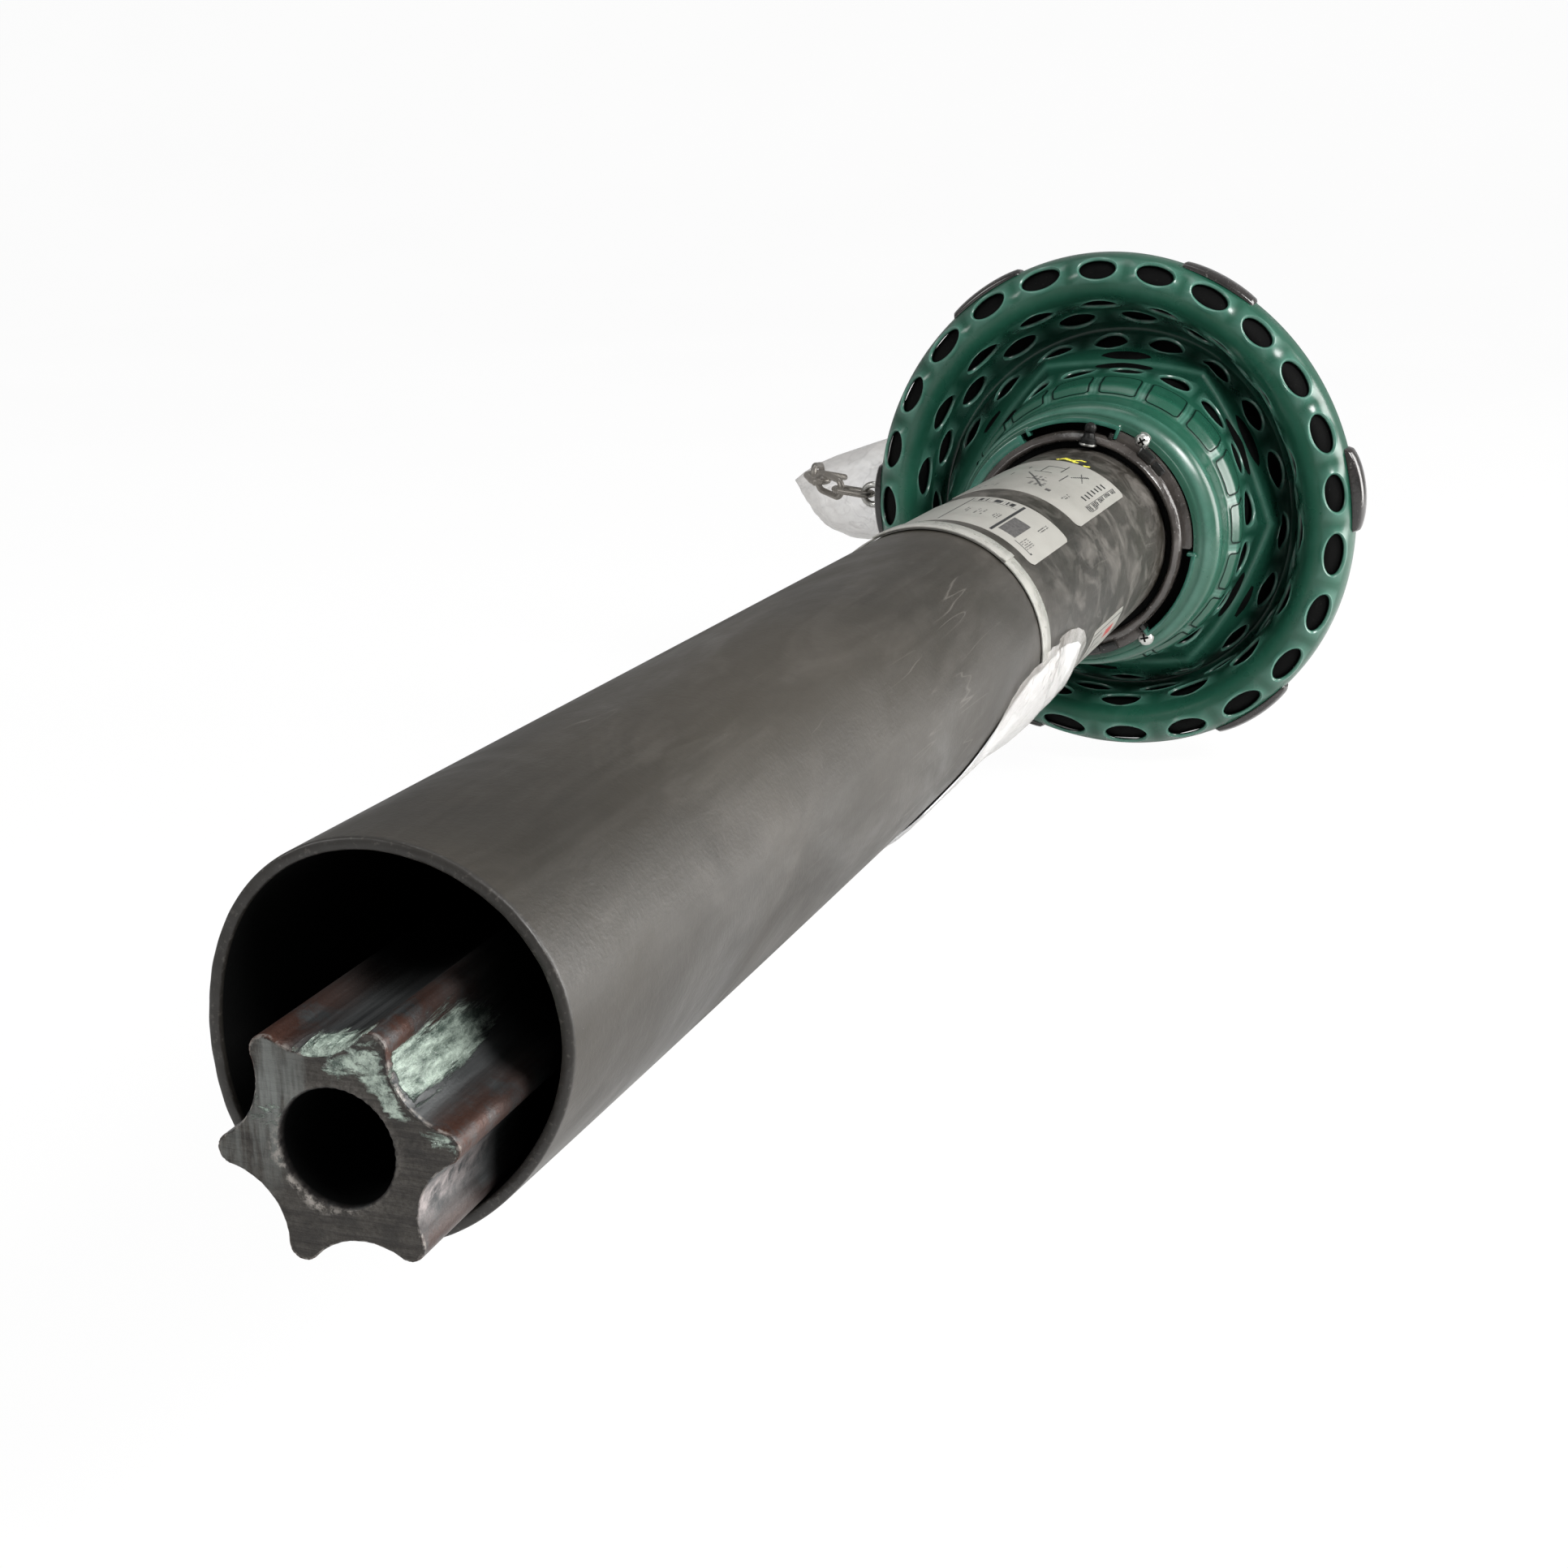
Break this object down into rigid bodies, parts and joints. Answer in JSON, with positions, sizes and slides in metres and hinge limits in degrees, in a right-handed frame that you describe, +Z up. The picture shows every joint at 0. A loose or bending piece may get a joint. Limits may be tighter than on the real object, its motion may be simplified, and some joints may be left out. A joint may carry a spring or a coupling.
{
  "type": "guarded drive shaft half",
  "caption": "Driveline half: a six-lobe sliding steel profile in a plastic guard tube, a ventilated guard cone, a universal joint and a splined quick-lock yoke.",
  "frame": {"origin": "centre of the splined bore's mouth on the outer yoke", "axes": "+X out of the splined bore along the shaft axis, shaft along -X, +Z up"},
  "size_m": [0.785, 0.2744, 0.2128],
  "materials": {
    "tube_plastic": "satin dark grey-brown extruded plastic",
    "black_plastic": "glossy black moulded plastic",
    "green_plastic": "deep green soft moulded plastic",
    "nylon": "natural nylon",
    "zinc": "bright zinc plate",
    "nipple_steel": "dark plated steel with a black cap",
    "label_paper": "off-white printed label",
    "sticker_paper": "red and white plain sticker",
    "strap_plastic": "translucent cream packing strap",
    "clear_film": "clear film",
    "sheet_paper": "folded white sheet",
    "chain_steel": "zinc plated chain",
    "profile_steel": "dark drawn steel with rust and grease",
    "forged_steel": "dark forged steel",
    "bearing_steel": "ground bearing steel",
    "seal_rubber": "black rubber",
    "spring_steel": "spring steel"
  },
  "bodies": {
    "guard": {"guard_tube": "tube_plastic", "tube_collar": "black_plastic", "bearing_ring": "nylon", "guard_cone": "green_plastic", "cone_liner": "black_plastic", "collar_screws": "zinc", "ring_grease_nipple": "nipple_steel", "data_label": "label_paper", "barcode_label": "label_paper", "plain_sticker": "sticker_paper", "packing_strap": "strap_plastic", "document_pouch": "clear_film", "manual_sheet": "sheet_paper", "chain_anchor": "zinc", "safety_chain": "chain_steel", "chain_bag": "clear_film"},
    "shaft": {"profile_tube": "profile_steel", "inner_yoke": "forged_steel", "roll_pin": "spring_steel", "inner_bearing_cups": "bearing_steel", "inner_needles": "bearing_steel", "inner_snap_rings": "spring_steel"},
    "cross": {"cross_spider": "bearing_steel", "cross_seals": "seal_rubber", "cross_grease_nipple": "nipple_steel"},
    "splined_end": {"outer_yoke": "forged_steel", "outer_bearing_cups": "bearing_steel", "outer_needles": "bearing_steel", "outer_snap_rings": "spring_steel"},
    "lock": {"lock_pin": "zinc", "pin_keeper": "spring_steel", "lock_spring": "spring_steel"}
  },
  "joints": [
    {"name": "shaft_spin", "type": "hinge", "parent": "guard", "child": "shaft", "pos_m": [0, 0, 0], "axis": [1, 0, 0], "continuous": true},
    {"name": "cross_swing", "type": "hinge", "parent": "shaft", "child": "cross", "pos_m": [-0.092, 0, 0], "axis": [0, 0, 1], "range_deg": [-34, 34]},
    {"name": "yoke_swing", "type": "hinge", "parent": "cross", "child": "splined_end", "pos_m": [-0.092, 0, 0], "axis": [0, 1, 0], "range_deg": [-34, 34]},
    {"name": "lock_push", "type": "slide", "parent": "splined_end", "child": "lock", "axis": [0, 0, -1], "range_m": [0, 0.007], "stiffness_N_per_m": 2500, "springref_m": -0.002, "deforming": ["lock_spring"]}
  ]
}
